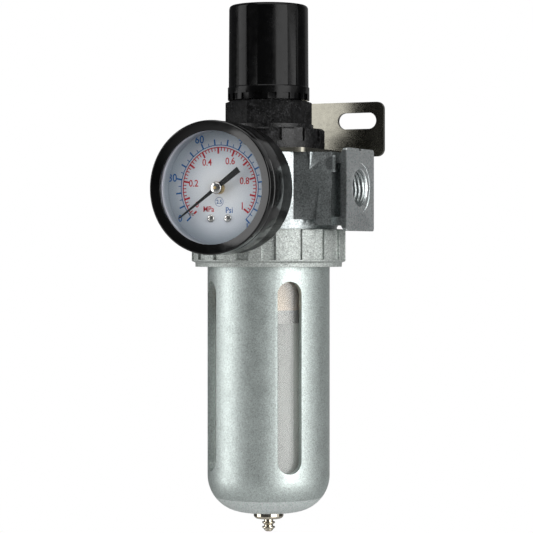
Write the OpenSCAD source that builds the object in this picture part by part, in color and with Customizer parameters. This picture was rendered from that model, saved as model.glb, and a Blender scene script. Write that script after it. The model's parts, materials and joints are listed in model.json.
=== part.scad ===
// Filter regulator for compressed air: die-cast body with two threaded ports, adjusting knob,
// dial gauge, wall bracket, and a clear bowl in a slotted metal guard.
// Millimetres, +Z up. The origin lies on the wall face of the bracket, midway between its slots.
// Heights below are measured from the port axis, and radii from the vertical main axis.

/* [Body] */
// Length over the faces of the two port flanges
body_length = 66.8; // [65:0.2:69]
// Height of the body's top face above the port axis
body_top = 11.5; // [11.2:0.1:12]
// Half depth of the bosses that carry the gauge and the rear plug
boss_reach = 21; // [20.6:0.1:22]
// Half depth of a port flange, front to back
flange_half_depth = 11.6; // [10:0.1:12]
// Core radius of the ports, for a G 1/4 pipe thread
port_core_r = 5.72; // [5.7:0.01:5.75]
// Length of a port's straight wall
port_wall = 13.5; // [12:0.1:14]

/* [Knob and bonnet] */
// Radius of the knob at its bottom edge
knob_r = 13.7; // [13.4:0.1:14]
// Height of the knob's top
knob_top = 61.5; // [61:0.5:64]
// Height of the knob's bottom edge
knob_bottom = 29.7; // [29.7:0.1:30]
// Number of grip flutes around the knob
flute_count = 6; // [4:1:12]
// Number of small tabs around the knob's bottom edge
tab_count = 18; // [12:1:24]
// Radius over the corners of the bonnet's hexagon
bonnet_hex_r = 14.5; // [14.2:0.1:14.9]
// Radius of the bonnet's threaded neck
neck_r = 15; // [14.9:0.1:15.2]
// Outer radius of the panel nut
panel_nut_r = 18.8; // [18.4:0.1:19.5]
// Number of spanner notches in the panel nut
notch_count = 14; // [8:1:16]

/* [Bracket] */
// Distance from the main axis to the wall
wall_distance = 30; // [29:0.5:34]
// Height of the bracket's slots above the port axis
slot_height = 24; // [23:0.5:25]
// Half width of the bracket's wall plate
bracket_half_width = 30; // [29.5:0.5:34]
// Thickness of the bracket's steel
bracket_gauge = 1.5; // [1.2:0.1:1.5]
// Distance between the centres of the two wall slots
slot_spacing = 40.4; // [40:0.2:42]
// Length of a wall slot, end to end
slot_length = 14.3; // [12:0.1:15]
// Width of a wall slot
slot_width = 5.6; // [5:0.1:6]

/* [Bowl and guard] */
// Outer radius of the bowl guard
guard_r = 20.5; // [20.5:0.1:20.6]
// Thickness of the guard's wall
guard_wall = 2.5; // [2.2:0.1:2.5]
// Height of the guard's bottom
guard_bottom = -108; // [-112:1:-104]
// Width of a sight window in the guard
window_width = 8.4; // [7:0.1:9]
// Outer radius of the lock ring over its ribs
ring_r = 25.8; // [25.6:0.1:26]
// Number of ribs around the lock ring
rib_count = 18; // [12:1:24]

/* [Gauge] */
// Outer radius of the gauge's bezel
bezel_r = 21.4; // [21.3:0.05:22]
// Distance from the main axis to the front of the bezel
bezel_front = 44.6; // [44.4:0.1:45.2]
// Height of the gauge's axis
gauge_height = -0.6; // [-0.8:0.1:0]
// Angle of the pointer at zero pressure, counter-clockwise from three o'clock
pointer_zero = 216; // [210:1:225]

/* [Hidden] */

$fn = 96;
hex = 6;
cut = 1;           // how far a cutter runs past the face that it opens
running = 0.06;    // radial clearance of a shaft that turns or slides in its hole
free_gap = 0.3;    // gap between round faces that only pass each other

cast_silver = [0.74, 0.75, 0.76];
black_plastic = [0.05, 0.05, 0.055];
nickel_steel = [0.62, 0.58, 0.52];
brass = [0.72, 0.58, 0.3];
steel = [0.6, 0.6, 0.62];
rubber = [0.08, 0.08, 0.08];
white_plastic = [0.85, 0.85, 0.82];
clear = [0.85, 0.9, 0.92, 0.4];

// Body
body_half = body_length / 2;
flange_thickness = 2.2;
flange_inner = body_half - flange_thickness;
slot_recess_width = 2.6;
block_half = flange_inner - slot_recess_width;
block_bottom = -10.4;
flange_top = 12.9;
flange_bottom = -14.2;
flange_corner_r = 1;
recess_top = 7.8;
recess_bottom = -9.6;
recess_depth = 4.8;
boss_half_width = 13.2;
facet_start = [16.7, -16.8];
facet_end = [block_half, -12.9];
base_r = 23.2;
base_bottom = -12.6;
skirt_bottom = -21.5;
skirt_inner_r = 19.8;
ring_thread_r = 23;
cup_r = 16;
cup_floor = 5.5;
chamber_r = 11;
chamber_floor = -1;
lower_chamber_r = 8;
lower_chamber_top = -4;
seat_r = 5;
spot_face_r = 8.2;
spot_face_depth = 0.2;
port_chamfer = 0.6;
port_depth = port_chamfer + port_wall;
passage_r = 4.2;
inlet_drop_r = 3.4;
inlet_drop_x = -16.6;
gauge_port_r = 4.6;
gauge_port_bottom = 12.5;

// Bonnet, screw and spring
diaphragm_thickness = 0.7;
bonnet_bottom = cup_floor + diaphragm_thickness;
neck_top = 21.4;
bonnet_hex_top = 29.4;
bonnet_turn = 25.5;
bonnet_tube_r = 10.9;
bonnet_tube_top = 46;
bonnet_bore_r = 8.6;
bonnet_roof = 43;
key_width = 3;
key_r = 9.6;
screw_r = 4;
screw_bottom = 26;
screw_collar_r = 6.5;
collar_top = 42;
collar_thickness = 1.5;
screw_hex_bottom = 47;
screw_hex_top = 56.5;
nut_top = 40;
nut_thickness = 5;
nut_r = 8.3;
spring_mean_r = 6.5;
spring_wire_r = 0.8;
spring_turns = 8;
spring_seat_r = 8;
spring_seat_top = 8;

// Knob
knob_step = 0.3;
knob_top_r = knob_r - 0.45;
knob_edge_r = 1.2;
knob_skirt_top = knob_bottom + 4.5;
knob_bore_r = bonnet_tube_r + 0.4;
knob_cavity_top = 59.3;
flute_depth = 0.7;
flute_width = 3.6;
tab_angle = 8;
tab_height = 2;
tab_depth = 0.7;
hub_r = 6.5;
hub_bottom = 47.5;
hex_clearance = 0.2;

// Panel nut and bracket
plate_top = body_top + bracket_gauge;
panel_nut_top = 19.9;
notch_depth = 4.4;
notch_angle = 12.5;
notch_radial = 1;
notch_turn = 32;
plate_half_width = 20.5;
plate_front = -18;
plate_corner_r = 3.5;
wall_plate_top = 30.4;
wall_plate_bottom = 11.7;
wall_corner_r = 2.5;

// Valve, filter and bowl
valve_stem_r = 1.2;
seat_bottom = -3.6;
poppet_top = -4.6;
poppet_bottom = -6.4;
poppet_r = 4.8;
poppet_guide_r = 2.5;
guide_top = -9.5;
guide_bottom = -20;
filter_r = 12.5;
filter_inner_r = 9.5;
filter_top = -20.6;
filter_bottom = -40.4;
baffle_bottom = -44.7;
bolt_r = 2.5;
bowl_r = 17.6;
bowl_inner_r = 15.8;
neck_outer_r = 19.2;
bowl_neck_top = -15;
bowl_flange_r = 22.6;
bowl_flange_top = -21.6;
guard_flange_top = -23;
guard_flange_bottom = -24.3;
guard_corner_r = 12.3;
guard_side_end = guard_bottom + guard_corner_r;
bowl_bottom_gap = 0.4;
bowl_wall = bowl_r - bowl_inner_r;
bowl_corner_r = guard_corner_r - guard_wall - bowl_bottom_gap;
bowl_bottom = guard_bottom + guard_wall + bowl_bottom_gap;
bowl_floor = bowl_bottom + bowl_wall;
ring_top = -13.5;
ring_bottom = -26;
ring_lip_top = -24.4;
ring_lip_r = 20.8;
ring_lower_r = 24.6;
ring_recess_r = 24.8;
rib_turn = 5;
window_top = -30.7;
window_bottom = -93.8;
o_ring_centre_r = 18.5;
o_ring_wire_r = 0.95;
o_ring_height = -18;

// Drain
drain_collar_r = 5;
drain_collar_height = 2.4;
drain_neck_r = 4.4;
drain_thread_r = 3.5;
drain_top = bowl_floor + 3.4;
drain_bore_r = 1.56;
drain_pocket_r = 2.6;
drain_pocket_top = guard_bottom + 4;
drain_rod_r = 1.5;
nipple_length = 4.4;
nipple_r = 1.5;
barb_r = 2.15;

// Gauge, with distances measured forward from the main axis
case_back = 26.3;
case_front = 40.9;
case_r = 20.9;
case_wall = 1;
lens_back = 41.2;
lens_front = 43.2;
bezel_opening_r = 18.1;
bezel_back = 34.5;
dial_face = 36.5;
dial_thickness = 0.5;
dial_r = 19.2;
dial_screw_spread = 3;
dial_screw_drop = -9.7;
shaft_r = 0.6;
collet_neck_r = 0.9;
pointer_plane = 38.7;
pointer_thickness = 0.4;
pointer_length = 16.8;
pointer_tail = 9.8;
socket_hex_r = 6.9;
washer_thickness = 0.4;
bourdon_r = 13.5;
socket_block = 10;
movement_front = 34.8;

// Moves a shape drawn about the main axis and the port axis into the part's own frame
module placed() {
    translate([0, -wall_distance, -slot_height]) children();
}

// Frame for the gauge: z runs forward from the main axis, y runs up from the gauge's axis
module gauge_placed() {
    placed() translate([0, 0, gauge_height]) rotate([90, 0, 0]) children();
}

// Upright solid cylinder between two heights
module rod(r, low, high, sides = $fn) {
    translate([0, 0, low]) cylinder(h = high - low, r = r, $fn = sides);
}

// Upright tube between two heights
module tube(r_outer, r_inner, low, high, sides = $fn) {
    difference() {
        rod(r_outer, low, high, sides);
        rod(r_inner, low - cut, high + cut, 96);
    }
}

// Upright cone between two heights, from the lower radius to the upper one
module taper(r_low, r_high, low, high) {
    translate([0, 0, low]) cylinder(h = high - low, r1 = r_low, r2 = r_high);
}

// Rectangle with round corners, centred, drawn from squares and circles
module rounded_rectangle(size, r) {
    square([size.x - 2 * r, size.y], center = true);
    square([size.x, size.y - 2 * r], center = true);
    for (x = [-1, 1], y = [-1, 1])
        translate([x * (size.x / 2 - r), y * (size.y / 2 - r)]) circle(r = r, $fn = 32);
}

// Stadium-shaped slot along x, centred
module slot_outline(length, width) {
    square([length - width, width], center = true);
    for (x = [-1, 1]) translate([x * (length - width) / 2, 0]) circle(d = width, $fn = 48);
}

// Repeats a shape around the main axis
module around(count, turn = 0) {
    for (i = [0 : count - 1]) rotate([0, 0, turn + i * 360 / count]) children();
}

// Round wire coiled about z, standing on z = 0
module coil(mean_r, wire_r, turns, length, sides = 6, steps = 20) {
    count = turns * steps;
    rise = length - 2 * wire_r;
    points = [
        for (i = [0 : count], j = [0 : sides - 1])
        let (
            turn = 360 * i / steps,
            around_wire = 360 * j / sides,
            r = mean_r + wire_r * cos(around_wire)
        )
        [r * cos(turn), r * sin(turn), wire_r + rise * i / count + wire_r * sin(around_wire)]
    ];
    walls = [
        for (i = [0 : count - 1], j = [0 : sides - 1])
        let (next = (j + 1) % sides)
        [i * sides + j, i * sides + next, (i + 1) * sides + next, (i + 1) * sides + j]
    ];
    first_end = [for (j = [sides - 1 : -1 : 0]) j];
    last_end = [for (j = [0 : sides - 1]) count * sides + j];
    polyhedron(points, concat(walls, [first_end, last_end]));
}

// Cutter for a port: mouth at z = 0, running towards -z
module port_cutter() {
    rod(port_core_r, -port_depth, cut);
    taper(port_core_r, port_core_r + port_chamfer, -port_chamfer, 0);
    rod(port_core_r + port_chamfer, 0, cut);
}

// Plan outline of the body's main block, the same in all four quarters
module block_outline() {
    quarter = [[boss_half_width, -boss_reach], facet_start, facet_end];
    last = len(quarter) - 1;
    polygon(concat(
        quarter,
        [for (i = [last : -1 : 0]) [quarter[i].x, -quarter[i].y]],
        [for (i = [0 : last]) [-quarter[i].x, -quarter[i].y]],
        [for (i = [last : -1 : 0]) [-quarter[i].x, quarter[i].y]]
    ));
}

// Port flange on the +X side, with its upright recesses and the register notch on top
module port_flange() {
    notch_half = 1.4;
    notch_cut = 0.7;
    shoulder = 1.2;
    difference() {
        intersection() {
            rotate([90, 0, 0]) linear_extrude(height = 2 * flange_half_depth, center = true)
                polygon([
                    [block_half - cut, 9.2], [block_half + 1.6, 9.2],
                    [body_half - shoulder, flange_top], [body_half, flange_top],
                    [body_half, flange_bottom], [body_half - shoulder, flange_bottom],
                    [flange_inner, base_bottom + 0.2], [block_half - cut, base_bottom + 0.2]
                ]);
            translate([0, 0, (flange_top + flange_bottom) / 2]) rotate([90, 0, 90])
                linear_extrude(height = body_half)
                    rounded_rectangle([2 * flange_half_depth, flange_top - flange_bottom], flange_corner_r);
        }
        for (side = [-1, 1])
            translate([block_half, side * flange_half_depth, recess_bottom])
                translate([0, side < 0 ? -cut : -recess_depth, 0])
                    cube([slot_recess_width, recess_depth + cut, recess_top - recess_bottom]);
        translate([flange_inner, -notch_half, flange_top - notch_cut])
            cube([flange_thickness + cut, 2 * notch_half, notch_cut + cut]);
    }
}

// Raised pad, small boss and tapered draft rib beside the flange, on the front of the +X side
module facet_details() {
    pad_rise = 0.75;
    slope = (facet_end.y - facet_start.y) / (facet_end.x - facet_start.x);
    pad_left = 22.5;
    pad_front = facet_end.y - pad_rise;
    intersection() {
        translate([0, 0, base_bottom]) linear_extrude(height = -base_bottom)
            polygon([
                [pad_left, pad_front - slope * (block_half - pad_left)], [block_half, pad_front],
                [block_half, -9], [pad_left, -9]
            ]);
        rotate([90, 0, 0]) linear_extrude(height = boss_reach)
            polygon([[24.9, -0.6], [block_half, -0.6], [block_half, -12.3], [23.7, -12.3]]);
    }
    translate([block_half - 0.4, -11.6, 0]) rod(1.3, 5, 10.4, 24);
    translate([21.8, facet_start.y + slope * (21.8 - facet_start.x), 0]) taper(0, 1, 5.9, body_top - 0.1);
}

module body_casting() {
    color(cast_silver) placed() difference() {
        union() {
            translate([0, 0, block_bottom]) linear_extrude(height = body_top - block_bottom)
                block_outline();
            rod(base_r, base_bottom, block_bottom + 0.5);
            rod(ring_thread_r - running, skirt_bottom, base_bottom);
            for (side = [0, 1]) mirror([side, 0, 0]) {
                port_flange();
                for (face = [0, 1]) mirror([0, face, 0]) facet_details();
            }
        }
        rod(cup_r, cup_floor, body_top + cut);
        rod(chamber_r, chamber_floor, cup_floor + cut);
        rod(seat_r, lower_chamber_top - cut, chamber_floor + cut);
        rod(lower_chamber_r, base_bottom - cut, lower_chamber_top);
        rod(skirt_inner_r, skirt_bottom - cut, base_bottom);
        for (side = [-1, 1]) {
            translate([side * (body_half - spot_face_depth), 0, 0]) rotate([0, side * 90, 0]) {
                port_cutter();
                rod(spot_face_r, 0, spot_face_depth + cut);
            }
            // Gauge port in front and plugged port behind, each with its sensing hole
            translate([0, 0, gauge_height]) rotate([side * 90, 0, 0])
                rod(gauge_port_r, gauge_port_bottom, boss_reach + cut);
            translate([0, 0, 1.4]) rotate([side * 90, 0, 0])
                rod(1.2, chamber_r - cut, gauge_port_bottom + cut);
        }
        // Outlet passage to the upper chamber
        translate([0, 0, 1]) rotate([0, 90, 0]) rod(passage_r, chamber_r - cut, body_half - port_depth + cut);
        // Inlet passage, which turns down to the bowl
        rotate([0, -90, 0]) rod(passage_r, -inlet_drop_x - inlet_drop_r, body_half - port_depth + cut);
        translate([inlet_drop_x, 0, 0]) rod(inlet_drop_r, base_bottom - cut, 0);
    }
}

// Hexagon-socket plug that closes the gauge port at the back
module rear_plug() {
    plug_length = 7.5;
    color(steel) placed() translate([0, 0, gauge_height]) rotate([-90, 0, 0]) difference() {
        rod(gauge_port_r, boss_reach - plug_length, boss_reach);
        rod(2.9, boss_reach - 4, boss_reach + cut, hex);
    }
}

module valve_seat() {
    color(brass) placed() tube(seat_r, 3, seat_bottom, chamber_floor);
}

// Bonnet: skirt in the body's cup, threaded neck, hexagon and the tube inside the knob
module bonnet() {
    edge = 0.5;
    color(black_plastic) placed() difference() {
        union() {
            rod(cup_r, bonnet_bottom, body_top);
            rod(neck_r, body_top, neck_top);
            intersection() {
                rotate(bonnet_turn) rod(bonnet_hex_r, neck_top - edge, bonnet_hex_top, hex);
                union() {
                    rod(bonnet_hex_r + 1, body_top, bonnet_hex_top - edge);
                    taper(bonnet_hex_r, bonnet_hex_r - 1.6, bonnet_hex_top - edge, bonnet_hex_top);
                }
            }
            rod(bonnet_tube_r, neck_top, bonnet_tube_top);
        }
        rod(bonnet_bore_r, bonnet_bottom - cut, bonnet_roof);
        rod(screw_r + running, bonnet_roof - cut, bonnet_tube_top + cut);
        translate([0, 0, (bonnet_bottom - cut + bonnet_roof) / 2])
            cube([2 * key_r, key_width, bonnet_roof - bonnet_bottom + cut], center = true);
        // Vent hole to the spring chamber
        translate([0, 0, neck_top + 4]) rotate([-90, 0, 0]) rod(0.8, 0, bonnet_hex_r + cut, 24);
    }
}

module panel_nut() {
    edge = 0.5;
    notch_width = 2 * panel_nut_r * sin(notch_angle / 2);
    color(black_plastic) placed() difference() {
        union() {
            rod(panel_nut_r, plate_top, panel_nut_top - edge);
            taper(panel_nut_r, panel_nut_r - edge, panel_nut_top - edge, panel_nut_top);
        }
        rod(neck_r, plate_top - cut, panel_nut_top + cut);
        around(notch_count, notch_turn)
            translate([-notch_width / 2, -panel_nut_r - cut, panel_nut_top - notch_depth])
                cube([notch_width, notch_radial + cut, notch_depth + cut]);
    }
}

// Angle bracket: a plate clamped under the panel nut and a plate against the wall
module mounting_bracket() {
    bend_r = 1;
    wall_height = wall_plate_top - wall_plate_bottom;
    plate_depth = wall_distance - plate_front;
    color(nickel_steel) placed() difference() {
        union() {
            translate([0, 0, body_top]) linear_extrude(height = bracket_gauge) difference() {
                union() {
                    translate([0, plate_front + plate_depth / 4])
                        rounded_rectangle([2 * plate_half_width, plate_depth / 2], plate_corner_r);
                    translate([-plate_half_width, 0])
                        square([2 * plate_half_width, wall_distance - bracket_gauge]);
                }
                circle(r = neck_r);
            }
            translate([0, wall_distance, (wall_plate_top + wall_plate_bottom) / 2]) rotate([90, 0, 0])
                linear_extrude(height = bracket_gauge)
                    rounded_rectangle([2 * bracket_half_width, wall_height], wall_corner_r);
            // Inside radius of the bend
            translate([-plate_half_width, wall_distance - bracket_gauge - bend_r, plate_top]) difference() {
                cube([2 * plate_half_width, bend_r, bend_r]);
                translate([-cut, 0, bend_r]) rotate([0, 90, 0])
                    cylinder(h = 2 * plate_half_width + 2 * cut, r = bend_r);
            }
        }
        for (side = [-1, 1])
            translate([side * slot_spacing / 2, wall_distance + cut, slot_height]) rotate([90, 0, 0])
                linear_extrude(height = bracket_gauge + 2 * cut) slot_outline(slot_length, slot_width);
    }
}

module thrust_washer() {
    color(steel) placed() tube(7.5, screw_r + free_gap, collar_top, bonnet_roof);
}

// Screw that the knob turns: thread below, collar under the thrust washer, hexagon on top
module adjusting_screw() {
    collar_gap = 0.1;
    color(brass) placed() {
        rod(screw_r, screw_bottom, screw_hex_bottom);
        rod(screw_collar_r, collar_top - collar_gap - collar_thickness, collar_top - collar_gap);
        rod(screw_r, screw_hex_bottom, screw_hex_top, hex);
    }
}

// Outer shape of the knob, before its flutes
module knob_shell() {
    rotate_extrude() {
        polygon([
            [0, knob_bottom], [knob_r, knob_bottom], [knob_r, knob_skirt_top - knob_step],
            [knob_r - knob_step, knob_skirt_top],
            [knob_top_r, knob_top - knob_edge_r], [knob_top_r - knob_edge_r, knob_top - knob_edge_r],
            [knob_top_r - knob_edge_r, knob_top], [0, knob_top]
        ]);
        translate([knob_top_r - knob_edge_r, knob_top - knob_edge_r]) intersection() {
            circle(r = knob_edge_r, $fn = 32);
            square(2 * knob_edge_r);
        }
    }
}

module adjusting_knob() {
    tab_gap = 360 / tab_count - tab_angle;
    gap_width = 2 * knob_r * sin(tab_gap / 2);
    color(black_plastic) placed() difference() {
        knob_shell();
        difference() {
            rod(knob_bore_r, knob_bottom - cut, knob_cavity_top);
            rod(hub_r, hub_bottom, knob_cavity_top + cut);
        }
        rod(screw_r + hex_clearance, hub_bottom - cut, knob_cavity_top - 1, hex);
        around(flute_count, 1)
            translate([-flute_width / 2, -knob_r - cut, knob_skirt_top])
                cube([flute_width, flute_depth + cut, knob_top]);
        around(tab_count, 180 / tab_count)
            translate([-gap_width / 2, -knob_r - cut, knob_bottom - cut])
                cube([gap_width, tab_depth + cut, tab_height + cut]);
    }
}

// Nut that the screw drives up and down, kept from turning by two keys
module spring_nut() {
    key_gap = 0.2;
    color(brass) placed() difference() {
        union() {
            rod(nut_r, nut_top - nut_thickness, nut_top);
            translate([0, 0, nut_top - nut_thickness / 2])
                cube([2 * (key_r - free_gap), key_width - 2 * key_gap, nut_thickness], center = true);
        }
        rod(screw_r + running, nut_top - nut_thickness - cut, nut_top + cut);
    }
}

module regulating_spring() {
    color(steel) placed() translate([0, 0, spring_seat_top])
        coil(spring_mean_r, spring_wire_r, spring_turns, nut_top - nut_thickness - spring_seat_top);
}

// Plate that the spring pushes on, with the relief hole through its middle
module spring_seat() {
    color(steel) placed() difference() {
        union() {
            rod(spring_seat_r, bonnet_bottom, spring_seat_top);
            rod(spring_mean_r - spring_wire_r - 0.4, spring_seat_top, spring_seat_top + 1.5);
            rod(2, cup_floor, bonnet_bottom);
        }
        rod(0.8, cup_floor - cut, spring_seat_top + 2 * cut, 32);
    }
}

module diaphragm() {
    color(rubber) placed() tube(cup_r, 2, cup_floor, bonnet_bottom);
}

module diaphragm_plate() {
    color(steel) placed() tube(8, 0.8, cup_floor - 0.8, cup_floor);
}

module valve_stem() {
    color(steel) placed() rod(valve_stem_r, poppet_bottom + 0.6, cup_floor - 0.85);
}

// Poppet with the guide pin below it
module valve_poppet() {
    color(brass) placed() difference() {
        union() {
            rod(poppet_r, poppet_bottom, poppet_top);
            rod(poppet_guide_r, poppet_bottom - 7, poppet_bottom);
        }
        rod(valve_stem_r, poppet_bottom + 0.6, poppet_top + cut);
    }
}

module poppet_seal() {
    color(rubber) placed() tube(poppet_r - 0.2, valve_stem_r, poppet_top, seat_bottom - 0.05);
}

module valve_spring() {
    color(steel) placed() translate([0, 0, guide_top])
        coil(4, 0.3, 3, poppet_bottom - guide_top, 6, 18);
}

// Guide that closes the lower chamber, carries the filter and lets filtered air up through it
module valve_guide() {
    color(white_plastic) placed() difference() {
        union() {
            rod(lower_chamber_r, guide_bottom, guide_top);
            rod(12, base_bottom - 1.6, base_bottom);
        }
        rod(poppet_guide_r + running, poppet_bottom - 10, guide_top + cut);
        rod(bolt_r, guide_bottom - cut, guide_bottom + 2.5);
        around(4, 45) translate([5.6, 0, 0]) rod(1.4, guide_bottom - cut, guide_top + cut, 24);
    }
}

// Slotted ring that makes the incoming air swirl down the bowl's wall
module swirl_deflector() {
    outer = bowl_inner_r - 0.5;
    color(white_plastic) placed() difference() {
        tube(outer, lower_chamber_r, -19.8, -17.4);
        around(12) translate([0, -outer - cut, -18.6]) rotate([0, 35, 0]) cube([1.6, 7, 8], center = true);
    }
}

module filter_seal() {
    color(rubber) placed() tube(filter_r, filter_inner_r, filter_top, -19.8);
}

module filter_element() {
    color([0.82, 0.7, 0.55]) placed() tube(filter_r, filter_inner_r, filter_bottom, filter_top);
}

// Cap under the filter that keeps the water below it still
module baffle() {
    color([0.6, 0.6, 0.6]) placed() difference() {
        union() {
            rod(filter_r + 0.3, baffle_bottom, filter_bottom);
            rod(filter_inner_r, filter_bottom, filter_bottom + 1);
        }
        rod(filter_r - 1.5, baffle_bottom - cut, baffle_bottom + 2.5);
        rod(bolt_r, baffle_bottom, filter_bottom + 1 + cut);
    }
}

module filter_bolt() {
    head_top = baffle_bottom + 2.5;
    color(brass) placed() {
        rod(bolt_r, head_top, guide_bottom + 2.5);
        rod(4.4, head_top - 2.8, head_top, hex);
    }
}

module bowl_o_ring() {
    color(rubber) placed() translate([0, 0, o_ring_height])
        rotate_extrude() translate([o_ring_centre_r, 0]) circle(r = o_ring_wire_r, $fn = 32);
}

// Half outline of a cup: straight side down to side_end, then a round corner and a flat bottom
module cup_outline(r, corner_r, side_end, top) {
    translate([0, side_end]) square([r, top - side_end]);
    translate([0, side_end - corner_r]) square([r - corner_r, corner_r]);
    translate([r - corner_r, side_end]) intersection() {
        circle(r = corner_r);
        translate([0, -corner_r]) square(corner_r);
    }
}

module bowl() {
    color(clear) placed() rotate_extrude() difference() {
        union() {
            cup_outline(bowl_r, bowl_corner_r, guard_side_end, bowl_flange_top);
            translate([0, guard_flange_top]) square([bowl_flange_r, bowl_flange_top - guard_flange_top]);
            translate([0, bowl_flange_top]) square([neck_outer_r, bowl_neck_top - bowl_flange_top]);
        }
        cup_outline(bowl_inner_r, bowl_corner_r - bowl_wall, guard_side_end, bowl_neck_top + cut);
        translate([0, bowl_bottom - cut]) square([drain_thread_r, bowl_wall + 2 * cut]);
        translate([o_ring_centre_r, o_ring_height]) circle(r = o_ring_wire_r, $fn = 32);
        translate([o_ring_centre_r, o_ring_height - o_ring_wire_r]) square([2, 2 * o_ring_wire_r]);
    }
}

// Metal guard around the bowl, with four sight windows
module bowl_guard() {
    window_height = window_top - window_bottom;
    color(cast_silver) placed() difference() {
        rotate_extrude() difference() {
            union() {
                cup_outline(guard_r, guard_corner_r, guard_side_end, guard_flange_top);
                translate([0, guard_flange_bottom])
                    square([bowl_flange_r, guard_flange_top - guard_flange_bottom]);
            }
            cup_outline(
                guard_r - guard_wall, guard_corner_r - guard_wall, guard_side_end, guard_flange_top + cut
            );
        }
        rod(drain_neck_r + free_gap, guard_bottom - cut, guard_bottom + guard_wall + cut);
        around(4, 45) translate([0, 0, (window_top + window_bottom) / 2]) rotate([90, 90, 0])
            linear_extrude(height = guard_r + cut) slot_outline(window_height, window_width);
    }
}

// Ribbed ring that screws onto the body's skirt and holds the bowl up by its flange
module lock_ring() {
    recess_width = 2 * ring_r * sin(90 / rib_count);
    shoulder = ring_lip_top - 0.2;
    edge = 0.5;
    recess_bottom = shoulder + 1;
    color(cast_silver) placed() rotate([0, 0, rib_turn]) difference() {
        rotate_extrude() polygon([
            [ring_lip_r, ring_bottom], [ring_lower_r, ring_bottom], [ring_lower_r, shoulder],
            [ring_r, shoulder + edge], [ring_r, ring_top - edge], [ring_r - edge, ring_top],
            [ring_thread_r, ring_top], [ring_thread_r, ring_lip_top], [ring_lip_r, ring_lip_top]
        ]);
        around(rib_count)
            translate([-recess_width / 2, -ring_r - cut, recess_bottom])
                cube([recess_width, ring_r - ring_recess_r + cut, ring_top - recess_bottom + cut]);
    }
}

// Threaded body of the drain: round collar under the guard, neck through it, thread through the bowl
module drain_body() {
    collar_edge = 0.7;
    collar_bottom = guard_bottom - drain_collar_height;
    color(brass) placed() difference() {
        union() {
            rod(drain_collar_r, collar_bottom + collar_edge, guard_bottom);
            taper(drain_collar_r - collar_edge, drain_collar_r, collar_bottom, collar_bottom + collar_edge);
            rod(drain_neck_r, guard_bottom, bowl_bottom);
            rod(drain_thread_r, bowl_bottom, drain_top);
        }
        rod(drain_bore_r, guard_bottom, drain_top + cut);
        rod(drain_pocket_r, collar_bottom - cut, drain_pocket_top);
    }
}

module drain_gasket() {
    color(rubber) placed() tube(5.5, drain_thread_r, bowl_floor, bowl_floor + 0.7);
}

module drain_nut() {
    color(brass) placed() tube(5.5, drain_thread_r, bowl_floor + 0.7, bowl_floor + 2.7, hex);
}

// Push-up drain stem with a barbed nipple at its lower end and a head above the seal
module drain_stem() {
    nipple_top = guard_bottom - drain_collar_height;
    nipple_end = nipple_top - nipple_length;
    barb_height = 0.75;
    color(brass) placed() difference() {
        union() {
            rod(drain_rod_r, nipple_top, drain_top + 1);
            rod(2.9, drain_top + 0.5, drain_top + 1.5);
            rod(drain_pocket_r - free_gap, nipple_top + 0.1, nipple_top + 0.9);
            rod(nipple_r, nipple_end + 0.5, nipple_top + 0.1);
            for (z = [nipple_top - 1.9, nipple_top - 3.5]) {
                rod(barb_r, z + 0.35, z + barb_height);
                taper(nipple_r, barb_r, z - 0.15, z + 0.35);
            }
            taper(0.9, nipple_r, nipple_end, nipple_end + 0.5);
        }
        rod(0.6, nipple_end - cut, drain_top - 1, 24);
    }
}

module drain_seal() {
    color(rubber) placed() tube(2.7, drain_rod_r, drain_top + 0.05, drain_top + 0.5);
}

module drain_spring() {
    low = guard_bottom - drain_collar_height + 0.9;
    color(steel) placed() translate([0, 0, low]) coil(2.05, 0.2, 5, drain_pocket_top - low, 5, 16);
}

// Brass socket: hexagon behind the case, thread into the body, block inside the case
module gauge_socket() {
    color(brass) gauge_placed() {
        rod(gauge_port_r, gauge_port_bottom + 0.5, boss_reach + washer_thickness);
        rod(socket_hex_r, boss_reach + washer_thickness, case_back, hex);
        rod(4.9, case_back, case_back + case_wall);
        translate([-socket_block / 2, -socket_block / 2, case_back + case_wall])
            cube([socket_block, socket_block, 3]);
    }
}

module gauge_washer() {
    color(rubber) gauge_placed() tube(6.4, gauge_port_r, boss_reach, boss_reach + washer_thickness);
}

// Drawn steel can of the gauge
module gauge_case() {
    back_edge_r = 0.6;
    color(black_plastic) gauge_placed() difference() {
        union() {
            rod(case_r, case_back + back_edge_r, case_front);
            rod(case_r - back_edge_r, case_back, case_back + back_edge_r);
            translate([0, 0, case_back + back_edge_r]) rotate_extrude()
                translate([case_r - back_edge_r, 0]) circle(r = back_edge_r, $fn = 32);
        }
        rod(case_r - case_wall, case_back + case_wall + 0.5, case_front + cut);
        rod(case_r - case_wall - 1, case_back + case_wall, case_front + cut);
        rod(4.9, case_back - cut, case_back + 2 * cut);
    }
}

// Bezel that holds the lens on the can, with a dished front between its rim and the opening
module gauge_bezel() {
    rim_edge = 0.6;
    lip_height = 0.6;
    color(black_plastic) gauge_placed() rotate_extrude() difference() {
        polygon([
            [case_r, bezel_back], [bezel_r, bezel_back], [bezel_r, bezel_front - rim_edge],
            [bezel_r - rim_edge, bezel_front], [bezel_opening_r, lens_front + lip_height],
            [bezel_opening_r, lens_front], [case_r, lens_front]
        ]);
        // Fine groove between the skirt and the rim
        translate([bezel_r, lens_front - 2]) circle(r = 0.25, $fn = 24);
    }
}

module lens_gasket() {
    color(rubber) gauge_placed() tube(case_r, 19, case_front, lens_back);
}

module gauge_lens() {
    color(clear) gauge_placed() rod(case_r, lens_back, lens_front);
}

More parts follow.
